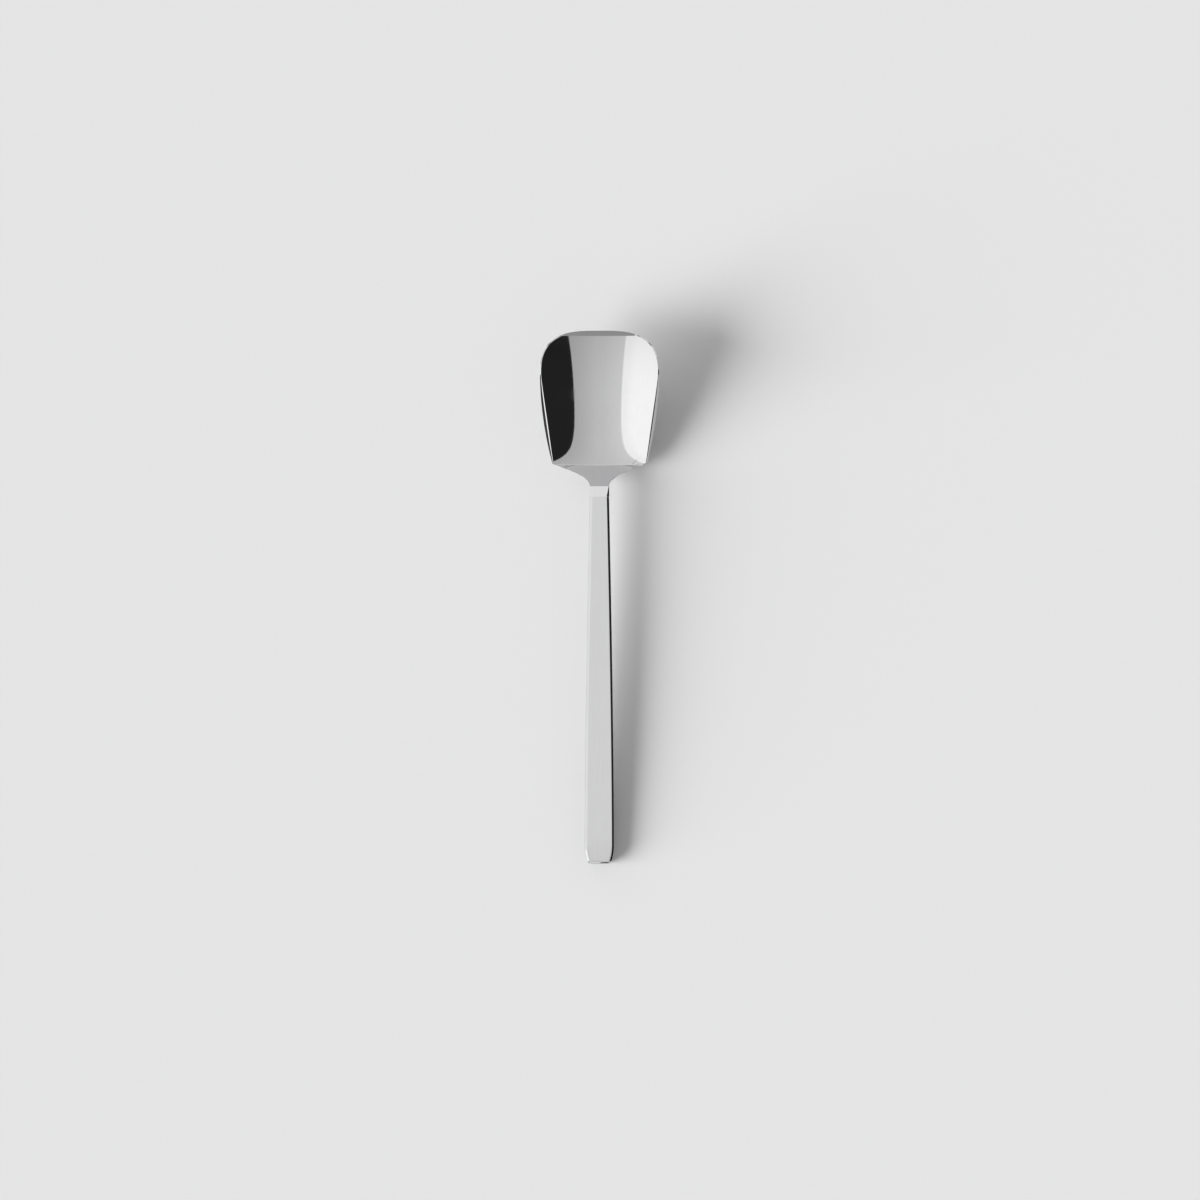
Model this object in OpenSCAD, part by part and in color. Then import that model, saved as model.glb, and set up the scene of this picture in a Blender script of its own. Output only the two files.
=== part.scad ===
// Sugar spoon with a tilted trough bowl, a sloping shoulder and a square bar handle, all in millimetres.
// It lies on its back as on a table: +Y runs from the handle to the lip, +Z is up, and z = 0 is the table.
// The origin is under the middle of the length. The bowl, the neck and the handle are separate pieces,
// brazed together at the crease behind the trough and at the line across the neck.

/* [Overall] */
// Length from the lip of the bowl to the end of the handle
overall_length = 130; // [110:1:160]

/* [Bowl] */
// Length of the trough, from the crease to the lip
trough_length = 32.6; // [27:0.2:38]
// Width of the bowl at its widest
bowl_width = 29; // [25:0.5:33]
// Width of the bowl at the crease
crease_width = 22.9; // [19:0.1:24.5]
// Distance from the lip back to the widest place
widest_setback = 10.6; // [8:0.1:13]
// Height of the sides above the floor, at the full width of the bowl
side_height = 7; // [6:0.1:8.5]
// Slope of the floor of the trough, in degrees
floor_slope = 22.5; // [14:0.5:26]
// Length over which the floor rounds up from the nearly level heel at the crease
heel_run = 5; // [3:0.25:8]
// Length over which the sides rise to their full curve from the crease
corner_run = 2.6; // [2:0.1:4]
// Thickness of the wall of the bowl
wall = 1.2; // [0.9:0.1:1.5]
// How far the crease bows back between its ends
crease_bow = 0.35; // [0:0.05:0.6]

/* [Rim] */
// Length of the ground bevel at the middle of the lip
lip_bevel = 1.3; // [0.8:0.1:1.8]
// Height of the blunt edge left under the bevel at the middle of the lip
lip_edge = 0.4; // [0.25:0.05:0.6]
// Height of the blunt edge left under the rim, halfway along the side
rim_edge = 0.25; // [0.15:0.05:0.4]
// Width of the rim seen from above, halfway along the side
rim_width = 0.9; // [0.6:0.05:1.2]
// Width of the rim at the crease and at the front corners
rim_end_width = 0.25; // [0.2:0.05:0.4]

/* [Neck] */
// Length of the sloping shoulder, from the crease to the neck
shoulder_length = 5.25; // [4:0.25:8]
// Length of the flat on the neck, from the shoulder to the handle
neck_length = 2.55; // [2:0.05:4]
// How far the flat on the neck drops towards the shoulder
neck_drop = 0.35; // [0.1:0.05:0.6]
// Height of the top of the neck above the table, where the handle begins
neck_height = 9; // [7:0.1:10]
// Width of the neck and of the start of the handle
neck_width = 4.7; // [4:0.1:6]
// Depth of the neck and of the start of the handle
neck_depth = 2.8; // [2.4:0.1:3.6]

/* [Handle] */
// Width of the handle near its end
handle_width = 7.2; // [6:0.1:9]
// Depth of the handle at its end
handle_depth = 3.8; // [3.2:0.1:4.6]
// Rise of the handle above a straight line between its ends
handle_arch = 0.5; // [0:0.05:1]
// Radius of the long edges of the handle and the neck
edge_radius = 0.65; // [0.4:0.05:0.8]
// Length over which the end of the handle draws in
draw_in_length = 4.4; // [3:0.1:7]
// How far each side of the handle draws in at the end
draw_in = 0.85; // [0.4:0.05:1.2]
// Radius of the upright corners of the end
end_corner_radius = 0.6; // [0.3:0.05:0.8]
// Radius of the top and bottom edges of the end
end_edge_radius = 0.4; // [0.2:0.05:0.6]
// Length of the flat land under the end, on which the handle rests
rest_land = 2.6; // [1.5:0.1:5]

/* [Joint] */
// Diameter of the tenon on the back of the neck
tenon_diameter = 1.6; // [1.2:0.1:1.8]
// Length of the tenon
tenon_length = 9; // [5:0.5:14]
// Thickness of the brazing filler in the joints
filler = 0.1; // [0.05:0.01:0.15]

/* [Hidden] */
steel = [0.78, 0.78, 0.79];
filler_colour = [0.85, 0.82, 0.72];

// Numbers of steps in the curved faces
steps_across = 14;
steps_along_trough = 22;
// The side of the rim stops one step short of the widest place, where the lip's edge takes over
side_last = 1 - 1 / steps_along_trough;
steps_down_shoulder = 10;
steps_along_handle = 16;
steps_round_end = 5;
bore_facets = 64;

// Shapes of the curves, as powers and shares of the sizes that they follow
section_power = 1.4;
section_middle_share = 0.25;
half_share = 0.5;
heel_share = 0.8;
corner_spread_share = 0.33;
front_spread_share = 0.1;
settle_power = 4;
corner_power = 3.1;
lip_power = 2.65;
side_power = 1.9;
handle_side_power = 1.5;
side_share = 0.9;
shoulder_width_shares = [0, 0.28, 0.985, 1];
shoulder_run_shares = [0, 0.21, 0.51, 1];
quarter_turn = 90;
half_turn = 180;

// Places along the length
lip_y = overall_length / 2;
end_y = -overall_length / 2;
crease_y = lip_y - trough_length;
widest_y = lip_y - widest_setback;
neck_y = crease_y - shoulder_length;
joint_y = neck_y - neck_length;

floor_rise = tan(floor_slope);
neck_floor = neck_height - neck_depth;

// The blunt side of the neck and the handle starts this share of the edge radius inside the full width
inset = edge_radius * (1 - side_share);

// The tenon follows the handle's own slope where the handle starts
handle_length = joint_y - end_y;
middle_fall = (neck_height + neck_floor - handle_depth) / 2 - 4 * handle_arch;
tenon_tilt = atan(middle_fall / handle_length);
bore_radius = tenon_diameter / 2 + filler;
bore_length = tenon_length + filler;
cut = overall_length;

// Rule for a share of the width, from -1 at the left edge to 1 at the right, closer together at the edges
function across(i) =
    let (k = i / steps_across - 1, lean = k < 0 ? -1 : 1)
    lean * pow(sin(quarter_turn * pow(abs(k), corner_power / 2)), 2 / corner_power);
function mix(a, b, share) = a + (b - a) * share;
function bezier(p, t) =
    p[0] * pow(1 - t, 3) + 3 * p[1] * pow(1 - t, 2) * t + 3 * p[2] * (1 - t) * pow(t, 2) + p[3] * pow(t, 3);
// Drop of a rounded edge of radius r at a distance d inside it
function round_off(r, d) = d >= r ? 0 : r - sqrt(max(0, r * r - pow(r - d, 2)));

// Plan of the bowl: half widths of the outside edge and of the inner edge of the rim
function side_share_at(y) = min(1, max(0, (widest_y - y) / (widest_y - crease_y)));
function outer_half(y) =
    bowl_width / 2 - (bowl_width - crease_width) / 2 * pow(side_share_at(y), side_power);
function inner_half(y) =
    outer_half(y) - mix(rim_end_width, rim_width, sin(half_turn * side_share_at(y)));
function outer_front(u) =
    widest_y + widest_setback * pow(max(0, 1 - pow(abs(u), corner_power)), 1 / lip_power);
function inner_front(u) = min(outer_front(u) - rim_end_width, lip_y - lip_bevel);
function crease_at(u) = crease_y + crease_bow * u * u;

// Height of the inside of the trough along its middle
function floor_z(y) =
    let (run = y - crease_y)
    wall + floor_rise * (run - heel_share * heel_run * (1 - exp(-run / heel_run)));
// Place across the trough's section, which opens out a little at the lip and more at the crease
function section_place(x, y) =
    let (
        run = max(0, y - crease_y),
        spread = 1 + corner_spread_share * exp(-run / corner_run)
            + front_spread_share * pow(run / trough_length, 3)
    )
    abs(x) / (bowl_width / 2) / spread;
// Rise across the section, from 0 in its rounded middle to 1 at the end of the straighter wall, and its slope
section_foot = pow(section_middle_share, section_power);
section_full = pow(1 + pow(section_middle_share, 2), section_power / 2) - section_foot;
function section_rise(place) =
    (pow(pow(place, 2) + pow(section_middle_share, 2), section_power / 2) - section_foot) / section_full;
function section_slope(place) =
    section_power * place * pow(pow(place, 2) + pow(section_middle_share, 2), section_power / 2 - 1) / section_full;
// Heights of the inside and the outside of the trough, one wall apart square to the section
function trough_z(x, y) = floor_z(y) + side_height * section_rise(section_place(x, y));
function outside_z(x, y) =
    let (slope = side_height / (bowl_width / 2) * section_slope(section_place(x, y)))
    trough_z(x, y) - wall * sqrt(1 + slope * slope);
// Slopes of the ground lip and rim, which leave the blunt edges at their middles
lip_slope = (floor_z(lip_y - lip_bevel) - floor_z(lip_y) + wall - lip_edge) / lip_bevel;
side_y = mix(crease_y, widest_y, half_share);
rim_fall = trough_z(inner_half(side_y), side_y) - outside_z(outer_half(side_y), side_y) - rim_edge;
rim_slope = rim_fall / rim_width;

// A place on the bowl: u across, v from the crease to the lip
function outer_plan(u, v) =
    let (y = mix(crease_at(u), outer_front(u), v))
    [u * outer_half(y), y];
function inner_plan(u, v) =
    let (y = mix(crease_at(u), inner_front(u), v))
    [u * inner_half(y), y];

// One row of points across a piece, with one more point at each side for the blunt edge
function widened(points, left, right) = concat([left], points, [right]);
function bowl_row(v, top) = widened(
    [for (i = [0 : 2 * steps_across])
        let (p = inner_plan(across(i), v))
        [p[0], p[1], top ? trough_z(p[0], p[1]) : outside_z(p[0], p[1])]],
    bowl_edge(-1, v * side_last, top),
    bowl_edge(1, v * side_last, top));
function bowl_edge(u, v, top) =
    let (p = outer_plan(u, v), inner = inner_half(p[1]))
    [p[0], p[1], top ? trough_z(inner, p[1]) - rim_slope * (abs(p[0]) - inner) : outside_z(p[0], p[1])];
function lip_point(u, top) =
    let (p = outer_plan(u, 1), line = inner_plan(u, 1))
    [p[0], p[1], top ? trough_z(line[0], line[1]) - lip_slope * (p[1] - line[1]) : outside_z(p[0], p[1])];
function lip_row(top) = widened(
    [for (i = [0 : 2 * steps_across]) lip_point(across(i), top)],
    bowl_edge(-1, (1 + side_last) / 2, top),
    bowl_edge(1, (1 + side_last) / 2, top));

// One row across the shoulder: t is 0 at the crease and 1 at the neck, where the section has settled flat
function shoulder_row(t, top) =
    let (
        half_out = mix(crease_width / 2, neck_width / 2, bezier(shoulder_width_shares, t)),
        half_in = half_out - mix(rim_end_width, inset, t),
        run = bezier(shoulder_run_shares, t),
        front_y = crease_y - filler,
        edge_y = mix(front_y + crease_bow, neck_y, run),
        bow = crease_bow * (1 - run),
        fall = (front_y - edge_y + bow) / (front_y - neck_y),
        settle = pow(1 - fall, settle_power),
        middle = mix(top ? wall : 0, (top ? neck_height : neck_floor) - neck_drop, fall),
        radius = edge_radius * run,
        side_rise = bowl_edge(1, 0, top)[2] - (top ? wall : 0),
        side_z = middle + side_rise * settle + (top ? -radius : radius)
    )
    widened(
        [for (i = [0 : 2 * steps_across])
            let (
                u = across(i),
                x = u * half_in,
                y = edge_y - bow * (1 - u * u),
                p = inner_plan(u, 0),
                rise = top ? trough_z(p[0], p[1]) - wall : outside_z(p[0], p[1]),
                edge = round_off(radius, half_out - abs(x))
            )
            [x, y, middle + rise * settle + (top ? -edge : edge)]],
        [-half_out, edge_y, side_z],
        [half_out, edge_y, side_z]);

// One row across the neck's flat or the handle
function bar_row(y, half, low, high, radius, top) = widened(
    [for (i = [0 : 2 * steps_across])
        let (x = across(i) * (half - inset), edge = round_off(radius, half - abs(x)))
        [x, y, top ? high - edge : low + edge]],
    [-half, y, top ? high - radius : low + radius],
    [half, y, top ? high - radius : low + radius]);

// Side view and plan of the handle, by the distance d from its end
function handle_share(d) = min(1, max(0, (handle_length - d) / (handle_length - draw_in_length)));
function land_share(d) = min(1, max(0, (handle_length - d) / (handle_length - rest_land)));
function handle_half(d) =
    handle_width / 2 - (handle_width - neck_width) / 2 * pow(1 - handle_share(d), handle_side_power)
    - draw_in * pow(max(0, 1 - d / draw_in_length), 2)
    - round_off(end_corner_radius, d);
function handle_top(d) =
    let (f = 1 - d / handle_length)
    mix(neck_height, handle_depth, f) + 4 * handle_arch * f * (1 - f) - round_off(end_edge_radius, d);
function handle_low(d) =
    let (f = land_share(d))
    mix(neck_floor, 0, f) + 4 * handle_arch * f * (1 - f) + round_off(end_edge_radius, d);
function handle_row(d, top) =
    bar_row(end_y + d, handle_half(d), handle_low(d), handle_top(d), edge_radius, top);

// Distances from the end at which the handle has a row
end_stops = [for (k = [0 : steps_round_end])
    end_corner_radius * (1 - cos(quarter_turn * k / steps_round_end))];
draw_stops = [for (k = [1 : steps_round_end])
    mix(end_corner_radius, draw_in_length, k / steps_round_end)];
long_stops = [for (k = [1 : steps_along_handle])
    mix(draw_in_length, handle_length - filler, k / steps_along_handle)];
handle_stops = concat(end_stops, draw_stops, long_stops);

// Closed solid between upper and lower rows of points, the rows in order of rising y and x
module ribbon(upper, lower) {
    rows = len(upper);
    wide = len(upper[0]);
    size = rows * wide;
    points = concat([for (row = upper) for (p = row) p], [for (row = lower) for (p = row) p]);
    tops = [for (j = [0 : rows - 2]) for (i = [0 : wide - 2])
        let (a = j * wide + i, b = a + 1, c = b + wide, d = a + wide)
        for (f = [[a, d, c], [a, c, b]]) f];
    bottoms = [for (j = [0 : rows - 2]) for (i = [0 : wide - 2])
        let (a = size + j * wide + i, b = a + 1, c = b + wide, d = a + wide)
        for (f = [[a, b, c], [a, c, d]]) f];
    sides = [for (j = [0 : rows - 2])
        let (a = j * wide, b = a + wide, c = a + wide - 1, d = c + wide)
        for (f = [[b, a, a + size], [b, a + size, b + size], [c, d, d + size], [c, d + size, c + size]]) f];
    ends = [for (i = [0 : wide - 2])
        let (a = i, b = a + 1, c = size - wide + i, d = c + 1)
        for (f = [[a, b, b + size], [a, b + size, a + size], [d, c, c + size], [d, c + size, d + size]]) f];
    polyhedron(points = points, faces = concat(tops, bottoms, sides, ends), convexity = 6);
}

// Round bar along the tenon's axis, from a distance in front of the joint to a depth in the handle
module tenon_bar(radius, front, depth) {
    translate([0, joint_y, (neck_height + neck_floor) / 2])
        rotate([quarter_turn + tenon_tilt, 0, 0])
            translate([0, 0, -front]) cylinder(r = radius, h = front + depth, $fn = bore_facets);
}

// Trough of even thickness, with a rim that stands square to the wall and a bevel ground on the lip
module bowl() {
    stops = [for (k = [0 : steps_along_trough]) k / steps_along_trough];
    color(steel) ribbon(
        concat([for (v = stops) bowl_row(v, true)], [lip_row(true)]),
        concat([for (v = stops) bowl_row(v, false)], [lip_row(false)]));
}

// Film of filler along the crease, between the end of the trough and the front of the shoulder
module bowl_braze_seam() {
    color(filler_colour) ribbon(
        [shoulder_row(0, true), bowl_row(0, true)],
        [shoulder_row(0, false), bowl_row(0, false)]);
}

// Shoulder that climbs from the crease to the neck, the flat on the neck, and the tenon behind it
module neck() {
    stops = [for (k = [0 : steps_down_shoulder]) 1 - k / steps_down_shoulder];
    half = neck_width / 2;
    color(steel) union() {
        ribbon(
            concat(
                [bar_row(joint_y, half, neck_floor, neck_height, edge_radius, true)],
                [for (t = stops) shoulder_row(t, true)]),
            concat(
                [bar_row(joint_y, half, neck_floor, neck_height, edge_radius, false)],
                [for (t = stops) shoulder_row(t, false)]));
        tenon_bar(tenon_diameter / 2, neck_length / 2, tenon_length);
    }
}

// Filler round the tenon and over the end of the handle
module neck_braze_sleeve() {
    half = neck_width / 2;
    color(filler_colour) difference() {
        union() {
            ribbon(
                [for (y = [joint_y - filler, joint_y])
                    bar_row(y, half, neck_floor, neck_height, edge_radius, true)],
                [for (y = [joint_y - filler, joint_y])
                    bar_row(y, half, neck_floor, neck_height, edge_radius, false)]);
            intersection() {
                tenon_bar(bore_radius, neck_length / 2, bore_length);
                translate([-cut / 2, joint_y - cut, -cut / 2]) cube(cut);
            }
        }
        tenon_bar(tenon_diameter / 2, neck_length / 2, tenon_length);
    }
}

// Tapered bar with a blind bore for the tenon
module handle() {
    color(steel) difference() {
        ribbon(
            [for (d = handle_stops) handle_row(d, true)],
            [for (d = handle_stops) handle_row(d, false)]);
        tenon_bar(bore_radius, neck_length / 2, bore_length);
    }
}

bowl();
bowl_braze_seam();
neck();
neck_braze_sleeve();
handle();
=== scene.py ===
# Sugar spoon in polished steel, seen from straight above on a pale surface. All lengths are in metres.
# The spoon lies along Y with its lip towards +Y, rests on z = 0, and opens upwards.
import math
import bmesh
import bpy
import numpy as np
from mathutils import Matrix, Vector


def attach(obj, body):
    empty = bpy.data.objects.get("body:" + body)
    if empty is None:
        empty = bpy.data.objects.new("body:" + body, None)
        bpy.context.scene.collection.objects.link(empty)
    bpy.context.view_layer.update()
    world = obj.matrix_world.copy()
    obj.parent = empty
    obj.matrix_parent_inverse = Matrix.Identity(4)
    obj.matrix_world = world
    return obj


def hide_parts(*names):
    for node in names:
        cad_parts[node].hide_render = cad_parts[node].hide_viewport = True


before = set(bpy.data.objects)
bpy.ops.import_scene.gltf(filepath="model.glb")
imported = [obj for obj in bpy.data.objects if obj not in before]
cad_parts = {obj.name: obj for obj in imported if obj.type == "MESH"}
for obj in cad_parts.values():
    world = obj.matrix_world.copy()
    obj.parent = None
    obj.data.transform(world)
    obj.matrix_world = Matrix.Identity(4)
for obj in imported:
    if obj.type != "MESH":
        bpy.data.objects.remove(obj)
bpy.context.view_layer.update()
mm = 0.001

# Camera, straight above the middle of the picture, on a long lens so that high edges stay in place.
picture_width = 293.04 * mm
picture_centre = Vector((0.12 * mm, -0.57 * mm))
camera_height = 4.0
sensor_width = 36.0

camera_data = bpy.data.cameras.new("camera")
camera_data.sensor_width = sensor_width
camera_data.lens = sensor_width * camera_height / picture_width
camera_data.clip_end = 100.0
camera = bpy.data.objects.new("camera", camera_data)
camera.location = (picture_centre.x, picture_centre.y, camera_height)
bpy.context.scene.collection.objects.link(camera)
bpy.context.scene.camera = camera
bpy.context.scene.view_settings.view_transform = "Standard"


# Room: a soft tent of light over the table, with a pale ceiling, a white wall on the left of the
# spoon and a black wall on the right, which the polished steel shows as its light and dark fields.
class Signal:
    """A socket in a node tree. Arithmetic on it adds Math nodes, and node() adds any other node."""

    def __init__(self, tree, socket=None):
        self.tree = tree
        self.socket = socket

    def node(self, kind, settings=None, values=None, output=0):
        made = self.tree.nodes.new(kind)
        for name, value in (settings or {}).items():
            setattr(made, name, value)
        for key, value in (values or {}).items():
            if isinstance(value, Signal):
                self.tree.links.new(value.socket, made.inputs[key])
            else:
                made.inputs[key].default_value = value
        return Signal(self.tree, made.outputs[output])

    def output(self, name):
        return Signal(self.tree, self.socket.node.outputs[name])

    def math(self, operation, *others):
        values = dict(enumerate((self,) + others))
        return self.node("ShaderNodeMath", {"operation": operation}, values)

    def clamp(self, low=0.0, high=1.0):
        return self.math("MAXIMUM", low).math("MINIMUM", high)

    def smooth(self, low, high):
        share = ((self - low) / (high - low)).clamp()
        return share * share * (3.0 - share * 2.0)

    def mix(self, other, share):
        return self + (other - self) * share

    def colour_between(self, first, second):
        """A colour that goes from the first to the second as this signal goes from 0 to 1."""
        return self.node("ShaderNodeMix", {"data_type": "RGBA"}, {0: self, 6: first, 7: second}, output=2)

    def __add__(self, other):
        return self.math("ADD", other)

    def __radd__(self, other):
        return self.math("ADD", other)

    def __sub__(self, other):
        return self.math("SUBTRACT", other)

    def __rsub__(self, other):
        return Signal(self.tree).node("ShaderNodeMath", {"operation": "SUBTRACT"}, {0: other, 1: self})

    def __mul__(self, other):
        return self.math("MULTIPLY", other)

    def __rmul__(self, other):
        return self.math("MULTIPLY", other)

    def __truediv__(self, other):
        return self.math("DIVIDE", other)

    def __pow__(self, other):
        return self.math("POWER", other)

    def __neg__(self):
        return self.math("MULTIPLY", -1.0)


def light_the_room():
    world = bpy.data.worlds.new("tent")
    world.use_nodes = True
    tree = world.node_tree
    tree.nodes.clear()
    start = Signal(tree)
    way = start.node("ShaderNodeTexCoord", output="Generated")
    across = start.node("ShaderNodeSeparateXYZ", values={0: way}, output=0)
    along = across.output("Y")
    up = across.output("Z")
    # Where each part of the tent shows: the slope, to the right and to the front, of a mirror that
    # shows it to someone looking straight down. All the edges below are such slopes.
    least_height = 0.02
    right = across / (1.0 + up).math("MAXIMUM", least_height)
    front = along / (1.0 + up).math("MAXIMUM", least_height)
    left = -right
    back = -front

    # The ceiling: brightest a little to the front, with a dim gap before the front wall, and dimmer behind
    aside = right.math("ABSOLUTE")
    gap = front.smooth(0.15, 0.17) * (1.0 - (front - 0.15 * aside.smooth(0.1, 0.25)).smooth(0.22, 0.25))
    ceiling = 1.0 + 0.14 * front.smooth(0.03, 0.11)
    ceiling = ceiling.mix(1.0, front.smooth(0.17, 0.22))
    ceiling = ceiling.mix(0.79, back.smooth(0.084, 0.094))
    ceiling = ceiling - 0.55 * right.clamp(0.0, 0.5) ** 1.5 + 0.5 * left.clamp(0.0, 0.5) ** 1.5
    ceiling = ceiling.mix(0.48, gap)

    # Towards the back the white wall is brighter and has a dark foot, and the black one has a grey foot
    white_wall_edge = (0.432, 0.448)
    black_wall_edge = (0.472, 0.482)
    foot_edge = (0.605, 0.625)
    behind = back.smooth(0.1, 0.2)
    low = back.smooth(0.445, 0.465)
    white_wall = 1.15 + (0.2 + 0.1 * left.smooth(0.47, 0.56)) * behind
    white_wall = white_wall.mix(0.06, low * left.smooth(*foot_edge))
    black_wall = 0.022 + 0.6 * low * right.smooth(*foot_edge)
    # Half way down behind, the black wall stands further out, where the rim's front corners would show it
    step_out = 0.12 * back.smooth(0.1, 0.15) * (1.0 - back.smooth(0.3, 0.34))
    seen_in_steel = ceiling.mix(white_wall, left.smooth(*white_wall_edge) * (1.0 - gap))
    blackness = (right - step_out).smooth(*black_wall_edge)
    seen_in_steel = seen_in_steel.mix(black_wall, blackness * (1.0 - gap))

    # Low at the back the black wall reaches in to the middle, where a pale one starts
    under = back.smooth(0.44, 0.48) * (1.0 - aside.smooth(0.4, 0.44))
    seen_in_steel = seen_in_steel.mix(1.1, under).mix(0.03, under * right.smooth(0.0, 0.004))

    # Steel seen in steel shows a plain pale room. Other surfaces get one even level, and the camera another.
    plain_room = 1.02
    soft_fill = 0.375
    backdrop = 0.78
    path = start.node("ShaderNodeLightPath", output="Is Glossy Ray")
    straight_back = path * (1.0 - path.output("Diffuse Depth").clamp())
    bounced_twice = (path.output("Glossy Depth") - 1.0).clamp()
    seen_in_steel = seen_in_steel.mix(plain_room, bounced_twice)
    seen = seen_in_steel * straight_back + soft_fill * (1.0 - straight_back)
    looked_at = path.output("Is Camera Ray")
    level = seen * (1.0 - looked_at) + backdrop * looked_at
    shine = start.node("ShaderNodeBackground", values={"Color": (1.0, 1.0, 1.0, 1.0), "Strength": level})
    out = tree.nodes.new("ShaderNodeOutputWorld")
    tree.links.new(shine.socket, out.inputs["Surface"])
    bpy.context.scene.world = world


light_the_room()

# Lamps: two soft ones low on the left, which throw the shadow, and a dim one low beyond the lip.
# The steel shows the tent's walls in their place, so the lamps themselves don't show in it.
full_light = math.pi


def soft_lamp(name, comes_from, elevation, breadth, share):
    """A far lamp that gives the table this share of its light. Angles are in degrees."""
    data = bpy.data.lights.new(name, "SUN")
    data.energy = share * full_light / math.sin(math.radians(elevation))
    data.angle = math.radians(breadth)
    lamp = bpy.data.objects.new(name, data)
    flat = math.cos(math.radians(elevation))
    source = Vector((
        flat * math.cos(math.radians(comes_from)),
        flat * math.sin(math.radians(comes_from)),
        math.sin(math.radians(elevation))))
    lamp.rotation_euler = (-source).to_track_quat("-Z", "Y").to_euler()
    lamp.visible_glossy = False
    bpy.context.scene.collection.objects.link(lamp)


soft_lamp("low_lamp", 198, 24, 44, 0.495)
soft_lamp("lowest_lamp", 198, 18, 44, 0.11)
soft_lamp("front_lamp", 125, 15, 40, 0.022)


# Table: a plain pale surface with the faint tooth of matt board, lit by the lamps and the tent.
def matt_board():
    material = bpy.data.materials.new("matt_board")
    material.use_nodes = True
    tree = material.node_tree
    shader = tree.nodes["Principled BSDF"]
    start = Signal(tree)
    place = start.node("ShaderNodeTexCoord", output="Object")
    tooth = start.node("ShaderNodeTexNoise", values={"Vector": place, "Scale": 900.0, "Detail": 3.0})
    colour = tooth.colour_between((0.775, 0.775, 0.778, 1.0), (0.785, 0.785, 0.788, 1.0))
    tree.links.new(colour.socket, shader.inputs["Base Color"])
    shader.inputs["Roughness"].default_value = 0.9
    shader.inputs["Specular IOR Level"].default_value = 0.1
    return material


table_half = 12.0
table_drop = 0.02 * mm
table_mesh = bpy.data.meshes.new("table")
table_mesh.from_pydata(
    [(x * table_half, y * table_half, -table_drop) for x, y in ((-1, -1), (1, -1), (1, 1), (-1, 1))],
    [], [(0, 1, 2, 3)])
table_mesh.materials.append(matt_board())
table = bpy.data.objects.new("table", table_mesh)
bpy.context.scene.collection.objects.link(table)

# Bowl: a trough pressed from even steel sheet, its floor climbing from the crease to a square front.
# The rim and the lip have ground bevels, and the whole is buffed to a mirror. In the functions below, u
# runs across from -1 to 1 and v along from 0 at the crease to 1 at the lip.
lip_y = 65 * mm
crease_y = 32.4 * mm
widest_y = 54.4 * mm
bowl_half = 14.5 * mm
crease_half = 11.45 * mm
wall = 1.2 * mm
floor_rise = math.tan(math.radians(22.5))
heel_run = 5.0 * mm
heel_share = 0.8
side_height = 6.999 * mm
section_power = 1.4
middle_share = 0.25
corner_spread = 0.33
corner_run = 2.6 * mm
front_spread = 0.1
crease_bow = 0.35 * mm
lip_bevel = 1.3 * mm
lip_edge_height = 0.4 * mm
rim_edge_height = 0.25 * mm
rim_width = 0.9 * mm
rim_end_width = 0.25 * mm
corner_power = 3.1
lip_power = 2.65
side_power = 1.9
ridge_share = 0.35
ridge_fall_share = 0.28
steps_across = 60
steps_along = 96
sharp_angle = math.radians(28)


def across_shares(steps):
    """Places from -1 to 1 across the bowl, closer together towards its corners."""
    even = np.linspace(-1, 1, 2 * steps + 1)
    reach = np.sin(np.pi / 2 * np.abs(even) ** (corner_power / 2)) ** (2 / corner_power)
    return np.sign(even) * reach


def blend(a, b, share):
    return a + (b - a) * share


def side_share_at(y):
    return np.clip((widest_y - y) / (widest_y - crease_y), 0, 1)


def outer_half(y):
    return bowl_half - (bowl_half - crease_half) * side_share_at(y) ** side_power


def inner_half(y):
    return outer_half(y) - blend(rim_end_width, rim_width, np.sin(np.pi * side_share_at(y)))


def outer_front(u):
    return widest_y + (lip_y - widest_y) * np.maximum(0, 1 - np.abs(u) ** corner_power) ** (1 / lip_power)


def inner_front(u):
    return np.minimum(outer_front(u) - rim_end_width, lip_y - lip_bevel)


def crease_at(u):
    return crease_y + crease_bow * u * u


def floor_z(y):
    """Height of the trough's floor along the middle, a little flatter over the heel."""
    run = y - crease_y
    return wall + floor_rise * (run - heel_share * heel_run * (1 - np.exp(-run / heel_run)))


def side_share(x, y):
    """Place across the trough's section, which opens out towards the crease until it is nearly flat."""
    run = np.maximum(0, y - crease_y)
    spread = 1 + corner_spread * np.exp(-run / corner_run) + front_spread * (run / (lip_y - crease_y)) ** 3
    return np.abs(x) / bowl_half / spread


def section(share):
    """Rise across the trough, from 0 in the rounded middle to 1 at the end of the straighter wall."""
    rise = (share ** 2 + middle_share ** 2) ** (section_power / 2) - middle_share ** section_power
    return rise / ((1 + middle_share ** 2) ** (section_power / 2) - middle_share ** section_power)


def section_slope(share):
    rise = section_power * share * (share ** 2 + middle_share ** 2) ** (section_power / 2 - 1)
    return rise / ((1 + middle_share ** 2) ** (section_power / 2) - middle_share ** section_power)


def trough_z(x, y):
    return floor_z(y) + side_height * section(side_share(x, y))


def outside_z(x, y):
    slope = side_height / bowl_half * section_slope(side_share(x, y))
    return trough_z(x, y) - wall * np.sqrt(1 + slope ** 2)


def points(x, y, z):
    x, y, z = np.broadcast_arrays(x, y, z)
    return np.stack([x, y, z], axis=-1)


def widened(row, left, right):
    return np.concatenate([left[None, :], row, right[None, :]])


side_y = (widest_y + crease_y) / 2
lip_slope = (floor_z(lip_y - lip_bevel) - floor_z(lip_y) + wall - lip_edge_height) / lip_bevel
rim_slope = trough_z(inner_half(side_y), side_y) - outside_z(outer_half(side_y), side_y)
rim_slope = (rim_slope - rim_edge_height) / rim_width


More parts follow.
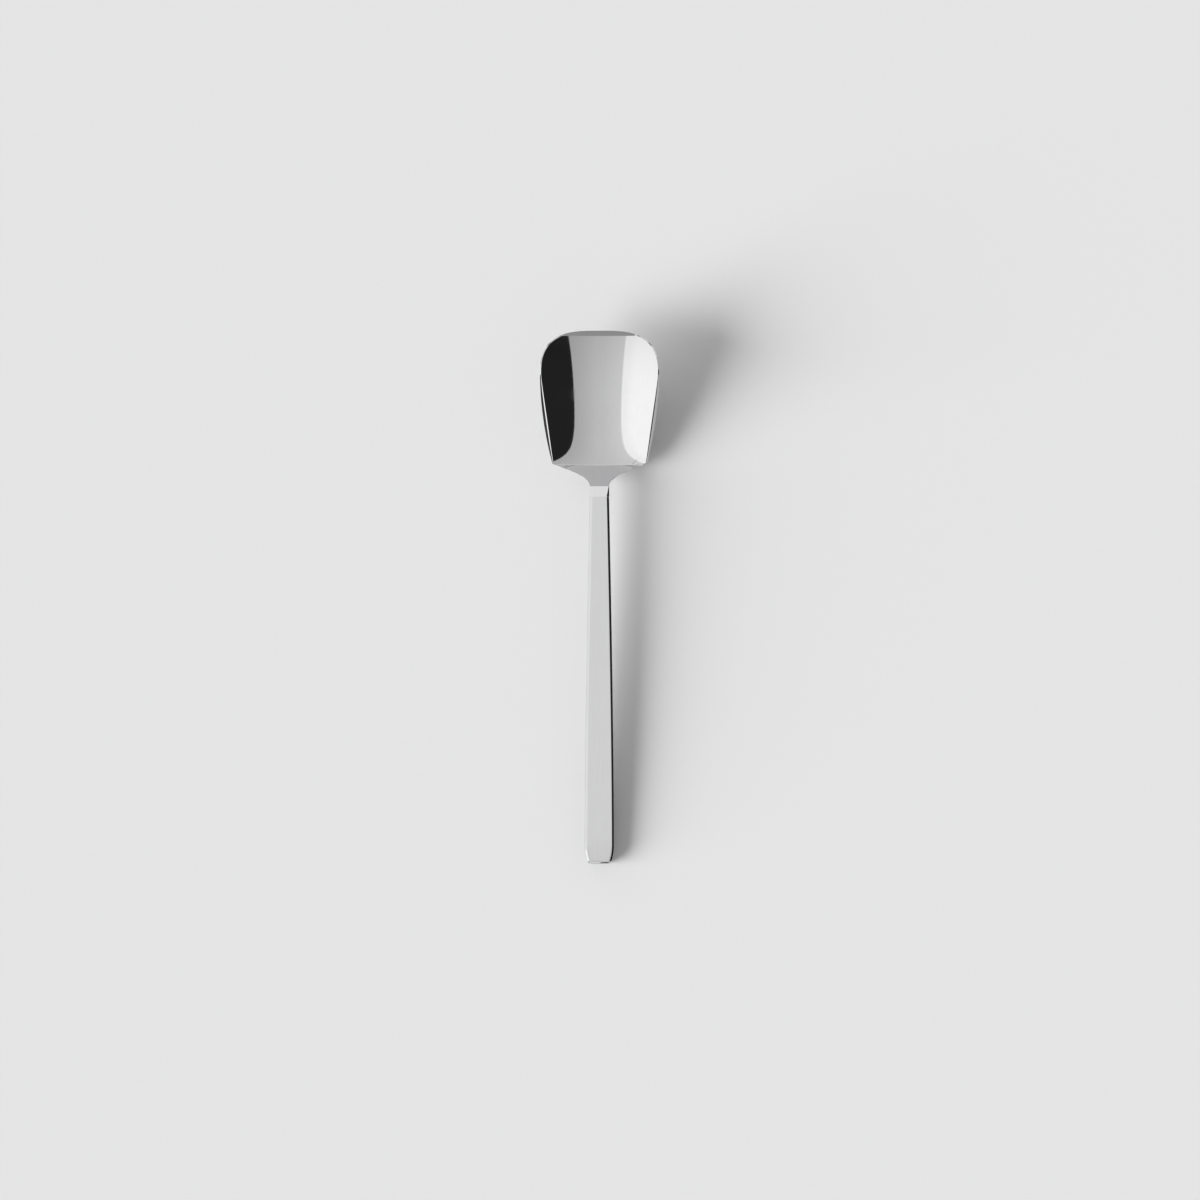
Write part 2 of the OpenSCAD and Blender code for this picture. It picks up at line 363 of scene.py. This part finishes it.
def bowl_edge(u, v, top):
    """The rim's edge, its top at the foot of a face ground at one slope from the inner line."""
    y = blend(crease_at(u), outer_front(u), v)
    x = u * outer_half(y)
    inner = inner_half(y)
    rim_z = trough_z(inner, y) - rim_slope * (np.abs(x) - inner)
    return points(x, y, rim_z if top else outside_z(x, y))


def lip_edge(u, top):
    """The lip's edge, its top at the foot of a bevel ground at one slope from the inner line."""
    y = outer_front(u)
    x = u * outer_half(y)
    line_y = inner_front(u)
    bevel_z = trough_z(u * inner_half(line_y), line_y) - lip_slope * (y - line_y)
    return points(x, y, bevel_z if top else outside_z(x, y))


def rim_ridge(u, v, top):
    """The line that parts the rim's narrow level facet from its steeper outer one."""
    y = blend(crease_at(u), outer_front(u), v)
    inner, outer = inner_half(y), outer_half(y)
    out = blend(inner, outer, ridge_share)
    rim_z = trough_z(inner, y) - rim_slope * (outer - inner) * ridge_fall_share
    return points(np.sign(u) * out, y, rim_z if top else outside_z(out, y))


def bowl_row(v, top):
    u = across_shares(steps_across)
    y = blend(crease_at(u), inner_front(u), v)
    x = u * inner_half(y)
    side_last = 1 - 1 / steps_along
    row = points(x, y, trough_z(x, y) if top else outside_z(x, y))
    for part in (rim_ridge, bowl_edge):
        row = widened(row, *[part(np.array(side), v * side_last, top) for side in (-1.0, 1.0)])
    return row


def lip_row(top):
    corner = 1 - 0.5 / steps_along
    row = lip_edge(across_shares(steps_across), top)
    for place in ((1 + corner) / 2, corner):
        row = widened(row, *[bowl_edge(np.array(side), place, top) for side in (-1.0, 1.0)])
    return row


def closed_ribbon(name, upper, lower, material):
    """A closed solid between upper and lower rows of points, the rows in order of rising y and x."""
    rows, wide = len(upper), len(upper[0])
    size = rows * wide
    places = np.concatenate([np.concatenate(upper), np.concatenate(lower)])
    faces = []
    for j in range(rows - 1):
        for i in range(wide - 1):
            a = j * wide + i
            faces.append((a, a + 1, a + 1 + wide, a + wide))
            faces.append((size + a, size + a + wide, size + a + 1 + wide, size + a + 1))
        left, right = j * wide, j * wide + wide - 1
        faces.append((left, left + wide, left + wide + size, left + size))
        faces.append((right + wide, right, right + size, right + wide + size))
    for i in range(wide - 1):
        faces.append((i + 1, i, i + size, i + 1 + size))
        last = size - wide + i
        faces.append((last, last + 1, last + 1 + size, last + size))
    mesh = bpy.data.meshes.new(name)
    mesh.from_pydata([tuple(map(float, p)) for p in places], [], faces)
    mesh.materials.append(material)
    mesh.polygons.foreach_set("use_smooth", [True] * len(mesh.polygons))
    mesh.update()
    thing = bpy.data.objects.new(name, mesh)
    bpy.context.scene.collection.objects.link(thing)
    return thing


def mirror_steel(name, line_scale, lip_shade_length=0.0):
    """Buffed stainless steel: near mirror, with fine lines left by the buffing wheel and faint haze.
    Given a length, painted shade darkens the colour over that length towards the lip, standing in for the
    steel's darker reflection there."""
    material = bpy.data.materials.new(name)
    material.use_nodes = True
    tree = material.node_tree
    shader = tree.nodes["Principled BSDF"]
    start = Signal(tree)
    place = start.node("ShaderNodeTexCoord", output="Object")
    stretched = start.node("ShaderNodeMapping", values={"Vector": place, "Scale": line_scale})
    lines = start.node("ShaderNodeTexNoise", values={"Vector": stretched, "Scale": 1.0, "Detail": 4.0})
    haze = start.node("ShaderNodeTexNoise", values={"Vector": place, "Scale": 130.0, "Detail": 5.0})
    waves = start.node("ShaderNodeTexNoise", values={"Vector": place, "Scale": 90.0, "Detail": 1.0})
    roughness = 0.035 + 0.05 * haze.smooth(0.45, 0.75) + 0.03 * lines.smooth(0.55, 0.8)
    tree.links.new(roughness.socket, shader.inputs["Roughness"])
    dull, bright, lip_shaded = (0.585, 0.585, 0.59, 1.0), (0.655, 0.655, 0.66, 1.0), (0.525, 0.525, 0.53, 1.0)
    colour = (haze * 0.5 + lines * 0.5).colour_between(dull, bright)
    # Painted shade: the colour darkens towards the lip, standing in for the darker reflection of the steeper
    # floor there.
    if lip_shade_length:
        nearness = start.node("ShaderNodeSeparateXYZ", values={0: place}, output=1)
        lip_shade_share = ((nearness - (lip_y - lip_shade_length)) / lip_shade_length).clamp()
        colour = (lip_shade_share * lip_shade_share).colour_between(colour, lip_shaded)
    tree.links.new(colour.socket, shader.inputs["Base Color"])
    shader.inputs["Metallic"].default_value = 1.0
    height = lines * 0.06 + waves
    bump = start.node("ShaderNodeBump", values={"Strength": 1.0, "Distance": 0.012 * mm, "Height": height})
    tree.links.new(bump.socket, shader.inputs["Normal"])
    return material


bowl_stops = np.linspace(0, 1, steps_along + 1)
# The bowl's steel carries painted shade over the last 19 mm towards the lip.
bowl_steel = mirror_steel("bowl_steel", (1800.0, 120.0, 1800.0), lip_shade_length=19 * mm)
bowl = closed_ribbon(
    "trough",
    [bowl_row(v, True) for v in bowl_stops] + [lip_row(True)],
    [bowl_row(v, False) for v in bowl_stops] + [lip_row(False)],
    bowl_steel)
bowl.data.set_sharp_from_angle(angle=sharp_angle)
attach(bowl, "root")
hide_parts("bowl")

# Neck: a forged shoulder that climbs from the crease to a small flat, behind which the tenon sits.
# It is brazed to the trough along the crease and dressed smooth, then buffed with the rest.
neck_y = 27.15 * mm
joint_y = 24.6 * mm
neck_half = 2.35 * mm
neck_height = 9.0 * mm
neck_depth = 2.8 * mm
neck_drop = 0.35 * mm
edge_bevel = 0.62 * mm
bevel_at_neck = 0.12 * mm
bevel_steepness = 0.75
crown_share = 0.1
filler = 0.1 * mm
neck_floor = neck_height - neck_depth
settle_power = 4
shoulder_widths = (0, 0.28, 0.985, 1)
shoulder_runs = (0, 0.21, 0.51, 1)
steps_down_shoulder = 60
steps_on_flat = 10
steps_down_bevel = 4


def bezier(shares, t):
    start, leave, arrive, end = shares
    rest = 1 - t
    return start * rest ** 3 + 3 * leave * t * rest ** 2 + 3 * arrive * rest * t ** 2 + end * t ** 3


def eased_row(half, bevel, drop, y_at, z_at, top):
    """A row across the neck: level in the middle, then a crowned bevel down to each blunt side."""
    level = across_shares(steps_across)
    down = np.linspace(0, 1, steps_down_bevel + 1)[1:]
    out = down + crown_share * down * (1 - down)
    x = np.concatenate([-half + (bevel * (1 - out))[::-1], level * (half - bevel), half - bevel * (1 - out)])
    fall = np.concatenate([(drop * down)[::-1], 0 * level, drop * down])
    u = x / half
    return points(x, y_at(u), z_at(u) - fall if top else z_at(u) + fall)


def shoulder_row(t, top):
    half = blend(crease_half, neck_half, bezier(shoulder_widths, t))
    run = bezier(shoulder_runs, t)
    front_y = crease_y - filler
    edge_y = blend(front_y + crease_bow, neck_y, run)
    bow = crease_bow * (1 - run)
    fall = (front_y - edge_y + bow) / (front_y - neck_y)
    settle = (1 - fall) ** settle_power

    def y_at(u):
        return edge_y - bow * (1 - u * u)

    def z_at(u):
        start_y = crease_at(u)
        start_x = u * outer_half(start_y)
        if top:
            rise = trough_z(start_x, start_y) - wall
            return blend(wall, neck_height - neck_drop, fall) + rise * settle
        return blend(0, neck_floor - neck_drop, fall) + outside_z(start_x, start_y) * settle

    bevel = blend(rim_end_width, bevel_at_neck, run)
    rim_drop = bowl_edge(np.array(1.0), 0.0, True)[2]
    rim_drop = trough_z(crease_half, crease_y + crease_bow) - rim_drop
    drop = blend(rim_drop, bevel_at_neck * bevel_steepness, run)
    return eased_row(half, bevel, drop if top else drop * run, y_at, z_at, top)


def flat_row(y, top):
    share = (neck_y - y) / (neck_y - joint_y)
    height = blend(neck_height - neck_drop, neck_height, share)
    bevel = blend(bevel_at_neck, edge_bevel, share)

    def y_at(u):
        return y + 0 * u

    def z_at(u):
        return (height if top else height - neck_depth) + 0 * u

    return eased_row(neck_half, bevel, bevel * bevel_steepness, y_at, z_at, top)


flat_stops = np.linspace(joint_y, neck_y, steps_on_flat + 1)[:-1]
shoulder_stops = np.linspace(1, 0, steps_down_shoulder + 1)
neck_steel = mirror_steel("neck_steel", (1800.0, 120.0, 300.0))
neck = closed_ribbon(
    "shoulder_and_neck",
    [flat_row(y, True) for y in flat_stops] + [shoulder_row(t, True) for t in shoulder_stops],
    [flat_row(y, False) for y in flat_stops] + [shoulder_row(t, False) for t in shoulder_stops],
    neck_steel)
neck.data.set_sharp_from_angle(angle=sharp_angle)
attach(neck, "root")
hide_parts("neck")

# Handle: a forged bar with square sides and eased edges, a little wider and thinner towards its end.
# It is buffed along its length, and its end is dressed square, with rounded corners and edges.
handle_sizes = {
    "Joint": joint_y - filler,
    "End": -64.9995 * mm,
    "Neck Width": 2 * neck_half,
    "End Width": 7.2 * mm,
    "Neck Height": neck_height,
    "Neck Floor": neck_floor,
    "End Depth": 3.8 * mm,
    "Arch": 0.5 * mm,
    "Edge Bevel": edge_bevel,
    "Edge Drop": edge_bevel * bevel_steepness,
    "Draw In Length": 4.4 * mm,
    "Draw In": 0.85 * mm,
    "Corner Radius": 0.6 * mm,
    "End Bow": 0.08 * mm,
    "End Edge Radius": 0.7 * mm,
    "Rest Land": 2.6 * mm,
}
handle_side_power = 1.5
points_round_bar = 161
rows_along_bar = 201
merge_distance = 0.0005 * mm
seam_distance = 0.0002 * mm
bar_sharp_angle = math.radians(35)


def bar_tree(material):
    tree = bpy.data.node_groups.new("tapered_bar", "GeometryNodeTree")
    for name in handle_sizes:
        socket = tree.interface.new_socket(name, in_out="INPUT", socket_type="NodeSocketFloat")
        socket.subtype = "DISTANCE"
    tree.interface.new_socket("Geometry", in_out="OUTPUT", socket_type="NodeSocketGeometry")
    start = Signal(tree)
    given = start.node("NodeGroupInput")
    size = {name: given.output(name) for name in handle_sizes}
    grid = start.node(
        "GeometryNodeMeshGrid",
        values={"Size X": 1.0, "Size Y": 1.0, "Vertices X": points_round_bar, "Vertices Y": rows_along_bar})
    place = start.node("GeometryNodeInputPosition")
    around = start.node("ShaderNodeSeparateXYZ", values={0: place}) + 0.5
    row = place.node("ShaderNodeSeparateXYZ", values={0: place}, output=1) + 0.5

    # Rows: a few close the far end, most run along the bar, and a few close the joint end
    cap_share = 0.05
    closing = (row / cap_share).clamp().math("MINIMUM", ((1.0 - row) / cap_share).clamp())
    run = ((row - cap_share) / (1.0 - 2.0 * cap_share)).clamp()
    length = size["Joint"] - size["End"]
    distance = length * run * run

    def rounded(radius):
        gap = (radius - distance).math("MAXIMUM", 0.0)
        return radius - (radius * radius - gap * gap).math("MAXIMUM", 0.0).math("SQRT")

    drawn = (1.0 - distance / size["Draw In Length"]).math("MAXIMUM", 0.0)
    spread = ((length - distance) / (length - size["Draw In Length"])).clamp()
    narrowing = (1.0 - spread).math("MAXIMUM", 0.0) ** handle_side_power
    half = size["End Width"] / 2.0 - (size["End Width"] - size["Neck Width"]) / 2.0 * narrowing
    half = half - size["Draw In"] * drawn * drawn - rounded(size["Corner Radius"])
    fall = 1.0 - distance / length
    landed = ((length - distance) / (length - size["Rest Land"])).clamp()
    top = size["Neck Height"].mix(size["End Depth"], fall) + 4.0 * size["Arch"] * fall * (1.0 - fall)
    low = size["Neck Floor"] * (1.0 - landed) + 4.0 * size["Arch"] * landed * (1.0 - landed)
    ease = rounded(size["End Edge Radius"])
    middle = (top + low) / 2.0
    tall = (top - low) / 2.0 - ease

    # Section: four flats joined by narrow ground bevels, crowned a little by the buffing wheel
    turn = around * (2.0 * math.pi)
    side = turn.math("COSINE")
    rise = turn.math("SINE")
    flat_share = 2.0
    flat_angle = math.asin(1.0 / flat_share)
    corner = ((rise.math("ABSOLUTE").math("ARCSINE") - flat_angle) / (math.pi / 2 - 2 * flat_angle)).clamp()
    crown = corner * (1.0 - corner) * crown_share
    bevel = size["Edge Bevel"]
    drop = size["Edge Drop"]
    out_x = (side * flat_share).clamp(-1.0, 1.0) * (half - bevel)
    out_z = (rise * flat_share).clamp(-1.0, 1.0) * (tall - drop)
    out_x = out_x + side.math("SIGN") * (1.0 - corner + crown) * bevel
    out_z = out_z + rise.math("SIGN") * (corner + crown) * drop
    bow = size["End Bow"] * drawn * (out_x * closing / size["End Width"] * 2.0) ** 2.0
    spot = start.node(
        "ShaderNodeCombineXYZ",
        values={0: out_x * closing, 1: size["End"] + distance + bow, 2: middle + out_z * closing})
    bar = start.node("GeometryNodeSetPosition", values={"Geometry": grid, "Position": spot})
    bar = start.node("GeometryNodeMergeByDistance", values={"Geometry": bar, "Distance": merge_distance})
    bar = start.node("GeometryNodeSetShadeSmooth", values={"Geometry": bar})
    bar = start.node("GeometryNodeRealizeInstances", values={"Geometry": bar})
    bar = start.node("GeometryNodeSetMaterial", values={"Geometry": bar, "Material": material})
    out = tree.nodes.new("NodeGroupOutput")
    tree.links.new(bar.socket, out.inputs["Geometry"])
    return tree


def grown(name, tree, sizes):
    """A plain mesh from a Geometry Nodes tree with its named sizes filled in."""
    seed = bpy.data.objects.new(name + "_seed", bpy.data.meshes.new(name + "_seed"))
    bpy.context.scene.collection.objects.link(seed)
    modifier = seed.modifiers.new("grow", "NODES")
    modifier.node_group = tree
    for item in tree.interface.items_tree:
        if item.in_out == "INPUT" and item.name in sizes:
            modifier[item.identifier] = float(sizes[item.name])
    ready = seed.evaluated_get(bpy.context.evaluated_depsgraph_get())
    mesh = bpy.data.meshes.new_from_object(ready)
    mesh.name = name
    bpy.data.objects.remove(seed)
    thing = bpy.data.objects.new(name, mesh)
    bpy.context.scene.collection.objects.link(thing)
    return thing


def close_and_face_outwards(mesh):
    work = bmesh.new()
    work.from_mesh(mesh)
    bmesh.ops.remove_doubles(work, verts=work.verts, dist=seam_distance)
    bmesh.ops.recalc_face_normals(work, faces=work.faces)
    work.to_mesh(mesh)
    work.free()


handle_steel = mirror_steel("handle_steel", (1800.0, 60.0, 1800.0))
handle = grown("handle_bar", bar_tree(handle_steel), handle_sizes)
close_and_face_outwards(handle.data)
handle.data.set_sharp_from_angle(angle=bar_sharp_angle)
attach(handle, "root")
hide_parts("handle")

# Brazing filler: two thin films of a pale silver alloy, dressed flush with the steel on both sides.
filler_steel = mirror_steel("silver_filler", (900.0, 900.0, 900.0))
for film in ("bowl_braze_seam", "neck_braze_sleeve"):
    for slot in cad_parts[film].material_slots:
        slot.material = filler_steel
